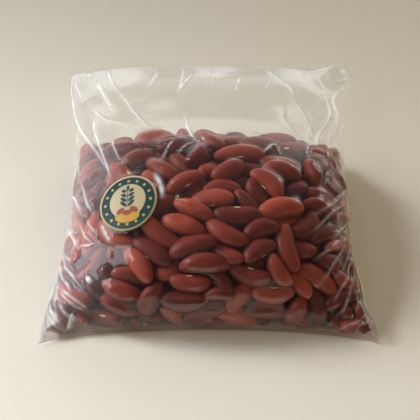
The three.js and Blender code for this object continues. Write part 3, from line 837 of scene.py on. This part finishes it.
def clearFilm():
    # clear, with a gloss that grows with the angle, a share of haze that scatters both ways, a painted
    # shade in the beans' brown where the film lies in shade, and painted glints in white along the creases
    material, nodes, links = newMaterial("clearFilm")
    out = node(nodes, "OutputMaterial")
    clear = node(nodes, "BsdfTransparent", {"Color": film["clearTint"]})
    shaded = node(nodes, "BsdfTransparent", {"Color": film["shadowTint"]})
    milk = node(nodes, "BsdfDiffuse", {"Color": film["milk"]})
    glow = node(nodes, "BsdfTranslucent", {"Color": film["milk"]})
    gloss = node(nodes, "BsdfGlossy", {"Color": film["glintWhite"], "Roughness": 0.1})
    # painted glint: a white diffuse along the creases
    bright = node(nodes, "BsdfDiffuse", {"Color": film["glintWhite"]})
    # painted shade: a dark brown diffuse where the seal and the wrinkled side edges lie in shade, and a
    # dark see-through for the shadow it casts
    shadePaint = node(nodes, "BsdfDiffuse", {"Color": film["shadePaint"]})
    dim = node(nodes, "BsdfTransparent", {"Color": film["shadePaintCast"]})
    haze = node(nodes, "Attribute", attribute_name="haze")
    glintWhite = node(nodes, "Attribute", attribute_name="glintWhite")
    paintedShade = node(nodes, "Attribute", attribute_name="paintedShade")
    facing = node(nodes, "LayerWeight", {"Blend": 0.5})
    grazing = node(nodes, "Math", {1: 5}, operation="POWER")
    fresnel = node(nodes, "MapRange", {1: 0, 2: 1, 3: film["mirror"], 4: 1})
    links.new(facing.outputs["Facing"], grazing.inputs[0])
    links.new(grazing.outputs[0], fresnel.inputs[0])
    rays = node(nodes, "LightPath")

    def blended(share, first, second):
        # the share, a number or a socket, of the second over the first
        mix = node(nodes, "MixShader", {0: share} if isinstance(share, float) else None)
        if not isinstance(share, float):
            links.new(share, mix.inputs[0])
        links.new(first, mix.inputs[1])
        links.new(second, mix.inputs[2])
        return mix.outputs[0]

    scattered = blended(0.5, milk.outputs[0], glow.outputs[0])
    body = blended(haze.outputs["Fac"], clear.outputs[0], scattered)
    # painted shade over the clear and hazy body
    body = blended(paintedShade.outputs["Fac"], body, shadePaint.outputs[0])
    sheet = blended(fresnel.outputs[0], body, gloss.outputs[0])
    # painted glints over the sheet along the creases
    sheet = blended(glintWhite.outputs["Fac"], sheet, bright.outputs[0])
    # shadow rays: darker where the shade is painted, so the seal and the right edge cast a deeper contact
    # shadow
    shade = blended(paintedShade.outputs["Fac"], shaded.outputs[0], dim.outputs[0])
    links.new(blended(rays.outputs["Is Shadow Ray"], sheet, shade), out.inputs[0])
    coords = node(nodes, "TexCoord")
    crinkle = node(nodes, "TexNoise", {"Scale": 90, "Detail": 3, "Roughness": 0.5})
    links.new(coords.outputs["Object"], crinkle.inputs["Vector"])
    bump = node(nodes, "Bump", {"Strength": 0.25, "Distance": 0.0008})
    links.new(crinkle.outputs["Fac"], bump.inputs["Height"])
    links.new(bump.outputs[0], gloss.inputs["Normal"])
    links.new(bump.outputs[0], facing.inputs["Normal"])
    return material


# the sticker: a thin disc that follows the film

sticker = {
    "at": (-0.37, 0.353), "radius": 12.5, "lift": 0.3, "thick": 0.3, "around": 96, "rings": 12,
    "fitStep": 0.004, "fitRounds": 14, "fitShare": 0.9,
    "cream": (178, 160, 122), "teal": (10, 54, 56), "gold": (190, 142, 48), "brown": (140, 66, 28),
}


def onFilm(u, v):
    # the film over the point (u, v) of the plane that touches it at the sticker's centre, found by
    # steps of the remaining offset over the film's size
    s = sticker
    centre = upperFilm(*s["at"])
    a, b = s["at"]
    step = s["fitStep"]
    way = np.cross(upperFilm(a + step, b) - upperFilm(a - step, b),
                   upperFilm(a, b + step) - upperFilm(a, b - step))
    normal = unit(way)
    axisU = unit(np.array([1, 0, 0]) - normal * normal[0])
    axisV = np.cross(normal, axisU)
    across, along = np.full(u.shape, a), np.full(u.shape, b)
    for _ in range(s["fitRounds"]):
        offset = upperFilm(across, along) - centre
        across = across + (u - offset @ axisU) / (form["halfFlat"] * np.pi / 2)
        along = along + (v - offset @ axisV) / form["sideLength"] * s["fitShare"]
    return upperFilm(across, along), normal


def makeSticker():
    # rings round the centre laid on the film and lifted along its normal, twice, joined at the rim
    s = sticker
    ring = np.linspace(0, 1, s["rings"] + 1)[1:]
    turn = np.linspace(0, 2 * np.pi, s["around"], endpoint=False)
    u = np.append(0, np.outer(ring, np.cos(turn)).ravel())
    v = np.append(0, np.outer(ring, np.sin(turn)).ravel())
    laid, normal = onFilm(u * s["radius"], v * s["radius"])
    points = np.vstack([laid + normal * (s["lift"] + s["thick"]), laid + normal * s["lift"]])
    half, n = len(u), s["around"]
    i, j = np.meshgrid(np.arange(n), np.arange(s["rings"] - 1))
    a, b = 1 + j * n + i, 1 + j * n + (i + 1) % n
    quads = np.stack([a, a + n, b + n, b], -1).reshape(-1, 4)
    k = np.arange(n)
    caps = np.stack([np.zeros(n, int), 1 + k, 1 + (k + 1) % n], -1)
    rim = 1 + (s["rings"] - 1) * n + np.stack([k, (k + 1) % n], -1)
    side = np.stack([rim[:, 0], rim[:, 0] + half, rim[:, 1] + half, rim[:, 1]], -1)
    faces = [*quads.tolist(), *(quads[:, ::-1] + half).tolist(), *caps.tolist(),
             *(caps[:, ::-1] + half).tolist(), *side.tolist()]
    piece = newMesh("stickerDisc", points, faces)
    flat = np.stack([np.tile(u, 2), np.tile(v, 2), np.zeros(2 * half)], -1)
    setAttribute(piece.data, "printPlace", "FLOAT_VECTOR", flat)
    say(f"sticker made, {len(faces)} faces")
    return piece


def printedPaper():
    # fields of colour from the rim in: cream, teal with gold dots, cream with a sprig and beans; each
    # shape is an ellipse by its centre, radii, turn and ink, later ones over earlier ones
    material, nodes, links = newMaterial("printedPaper")
    cream, teal, gold, brown = (rgb(*sticker[ink]) for ink in ("cream", "teal", "gold", "brown"))
    place = node(nodes, "Attribute", attribute_name="printPlace")
    spot = place.outputs["Vector"]
    coords = node(nodes, "TexCoord")
    fibre = node(nodes, "TexNoise", {"Scale": 900, "Detail": 2})
    links.new(coords.outputs["Object"], fibre.inputs["Vector"])
    field = node(nodes, "MixRGB", {0: 0.05, 1: cream}, blend_type="MULTIPLY")
    links.new(fibre.outputs["Color"], field.inputs[2])
    colour = field.outputs[0]
    leaves = [((way * 0.13, -0.06 + 0.16 * k), (0.15 - 0.02 * k, 0.06), way * (0.75 - 0.12 * k), teal)
              for k in range(4) for way in (-1, 1)]
    dots = [((0.785 * math.sin(a), 0.785 * math.cos(a)), (0.05, 0.05), 0, gold)
            for a in np.arange(16) * math.pi / 8]
    shapes = [
        ((0, 0), (0.93, 0.93), 0, teal),              # ring
        ((0, 0.04), (0.62, 0.62), 0, cream),          # field
        ((0, -0.5), (0.42, 0.22), 0, gold),           # mound
        ((0, 0.18), (0.016, 0.34), 0, teal),          # stem
        *leaves,
        ((0, 0.52), (0.055, 0.1), 0, teal),           # top leaf
        ((-0.23, -0.3), (0.16, 0.095), 0.5, brown),   # three beans
        ((0.23, -0.3), (0.16, 0.095), -0.5, brown),
        ((0, -0.38), (0.17, 0.095), 0, brown),
        *dots,
    ]
    for centre, radii, turn, ink in shapes:
        layer = node(nodes, "MixRGB", {2: ink})
        links.new(ellipse(nodes, links, spot, centre, radii, turn, 0.02 / min(radii)), layer.inputs[0])
        links.new(colour, layer.inputs[1])
        colour = layer.outputs[0]
    paper = node(nodes, "BsdfPrincipled", {"Roughness": 0.4})
    links.new(colour, paper.inputs["Base Color"])
    bump = node(nodes, "Bump", {"Strength": 0.1, "Distance": 0.0001})
    links.new(fibre.outputs["Fac"], bump.inputs["Height"])
    links.new(bump.outputs[0], paper.inputs["Normal"])
    out = node(nodes, "OutputMaterial")
    links.new(paper.outputs[0], out.inputs[0])
    return material


beanPiece, beanPoints, beanFaces = makeBeans()
beanPiece.data.materials.append(beanSkin())
filmPiece = makeFilm(beanPoints, beanFaces)
filmPiece.data.materials.append(clearFilm())
stickerPiece = makeSticker()
stickerPiece.data.materials.append(printedPaper())
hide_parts("bean_bag")
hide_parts("bean_bag")
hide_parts("round_sticker")
for piece, slotName in ((beanPiece, "beans"), (filmPiece, "film"), (stickerPiece, "sticker")):
    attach(piece, "root")


# floor and light

room = {"floor": (224, 216, 201), "floorHalf": 2000, "floorRoughness": 0.7,
        "dark": 0.05, "bright": 0.13, "strip": 1.3, "glow": (-0.35, 0.75, 0.35),
        "sky": (0.98, 0.98, 0.95, 1)}

# area lamps, in metres and watts; an unseen one lights the bag without a mirror image on its film
lamps = {
    "window": {"place": (-0.72, 0.2, 0.54), "aim": (-0.1, -0.27, 0), "size": (0.34, 0.34),
               "power": 1.6, "colour": (0.92, 0.98, 1.05), "seen": False, "spread": 60},
    "leftPanel": {"place": (-0.77, -0.12, 0.46), "aim": (0, 0, 0.02), "size": (0.56, 0.4),
                  "power": 2.5, "colour": (0.97, 0.98, 1)},
    "backWindow": {"place": (-0.42, 0.58, 0.98), "aim": (0, 0, 0.02), "size": (0.16, 0.16),
                   "power": 0.3, "colour": (1, 0.99, 0.97)},
    "rightWindow": {"place": (0.75, 0.75, 0.36), "aim": (0, 0, 0.02), "size": (0.3, 0.22),
                    "power": 0.35, "colour": (1, 0.96, 0.88)},
    "rightFill": {"place": (0.8, 0.6, 0.5), "aim": (0.1, 0, 0), "size": (0.7, 0.5),
                  "power": 2.8, "colour": (1, 0.84, 0.54), "seen": False},
    "roomFill": {"place": (0.45, -0.45, 0.6), "aim": (0, -0.05, 0), "size": (0.6, 0.6),
                 "power": 1.2, "colour": (1, 0.8, 0.48), "seen": False},
}


def addFloor():
    # one square under the bag
    half = room["floorHalf"]
    corners = [(-half, -half, 0), (half, -half, 0), (half, half, 0), (-half, half, 0)]
    floor = newMesh("floor", corners, [(0, 1, 2, 3)], smooth=False)
    material, nodes, links = newMaterial("paleFloor")
    out = node(nodes, "OutputMaterial")
    matt = node(nodes, "BsdfPrincipled", {"Base Color": rgb(*room["floor"]),
                                          "Roughness": room["floorRoughness"]})
    links.new(matt.outputs[0], out.inputs[0])
    floor.data.materials.append(material)


def addLight(name, place, aim, size, power, colour, seen=True, spread=180):
    # a rectangle at the place, turned so that it shines at the aim
    data = bpy.data.lights.new(name, "AREA")
    data.shape = "RECTANGLE"
    data.size, data.size_y = size
    data.energy = power
    data.color = colour
    data.spread = math.radians(spread)
    lamp = bpy.data.objects.new(name, data)
    lamp.location = place
    lamp.rotation_euler = (Vector(aim) - Vector(place)).to_track_quat("-Z", "Y").to_euler()
    lamp.visible_glossy = seen
    scene.collection.objects.link(lamp)


def addWorld():
    # dim towards the camera, lighter behind and over the bag, brightest low behind it
    world = bpy.data.worlds.new("world")
    world.use_nodes = True
    nodes, links = world.node_tree.nodes, world.node_tree.links

    def stepped(value, start, end, low, high):
        # smooth step from low to high between start and end
        step = node(nodes, "MapRange", {1: start, 2: end, 3: low, 4: high},
                    interpolation_type="SMOOTHSTEP")
        links.new(value, step.inputs[0])
        return step.outputs[0]

    def product(first, second, operation="MULTIPLY"):
        # one value times the other, or another operation on both
        made = node(nodes, "Math", operation=operation)
        links.new(first, made.inputs[0])
        links.new(second, made.inputs[1])
        return made.outputs[0]

    coords = node(nodes, "TexCoord")
    facing = node(nodes, "VectorMath", {1: room["glow"]}, operation="DOT_PRODUCT")
    split = node(nodes, "SeparateXYZ")
    links.new(coords.outputs["Generated"], facing.inputs[0])
    links.new(coords.outputs["Generated"], split.inputs[0])
    level = stepped(facing.outputs["Value"], -0.35, 0.6, room["dark"], room["bright"])
    strip = product(stepped(split.outputs[2], 0.25, 0.5, room["strip"], 0),
                    stepped(split.outputs[2], -0.02, 0.1, 0, 1))
    strip = product(strip, stepped(split.outputs[1], 0.3, 0.8, 0, 1))
    links.new(product(level, strip, "ADD"), nodes["Background"].inputs[1])
    nodes["Background"].inputs[0].default_value = room["sky"]
    scene.world = world


addFloor()
for name, lamp in lamps.items():
    addLight(name, **lamp)
addWorld()
scene.view_settings.view_transform = "Standard"

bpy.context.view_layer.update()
say("scene ready")
